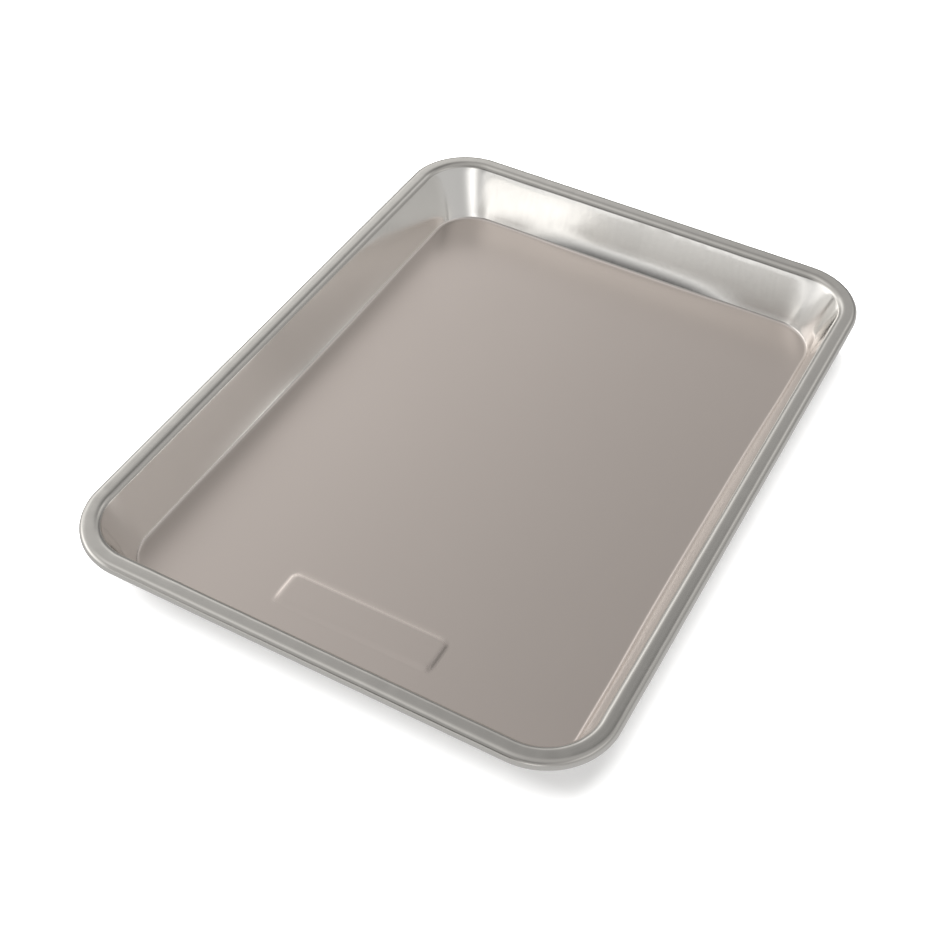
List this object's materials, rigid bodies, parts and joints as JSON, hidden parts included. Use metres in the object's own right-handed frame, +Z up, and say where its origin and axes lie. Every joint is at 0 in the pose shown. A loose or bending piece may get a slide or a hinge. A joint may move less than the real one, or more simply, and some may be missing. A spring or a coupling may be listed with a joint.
{
  "type": "sheet pan",
  "caption": "Shallow rectangular baking tray drawn from one aluminium sheet, with leaning walls, round corners and a rim curled outwards round a stiffening wire.",
  "frame": {"origin": "on the table under the middle of the pan, at the centre of the floor's underside", "axes": "+Z up out of the pan, +Y along its length towards the far short side, +X across its width to the right"},
  "size_m": [0.2412, 0.3276, 0.028],
  "materials": {
    "aluminium": "plain uncoated aluminium, satin floor and brighter drawn walls",
    "galvanised_steel": "dull galvanised wire, hidden in the curl"
  },
  "bodies": {
    "root": {"pan_shell": "aluminium", "rim_wire": "galvanised_steel"}
  },
  "joints": []
}
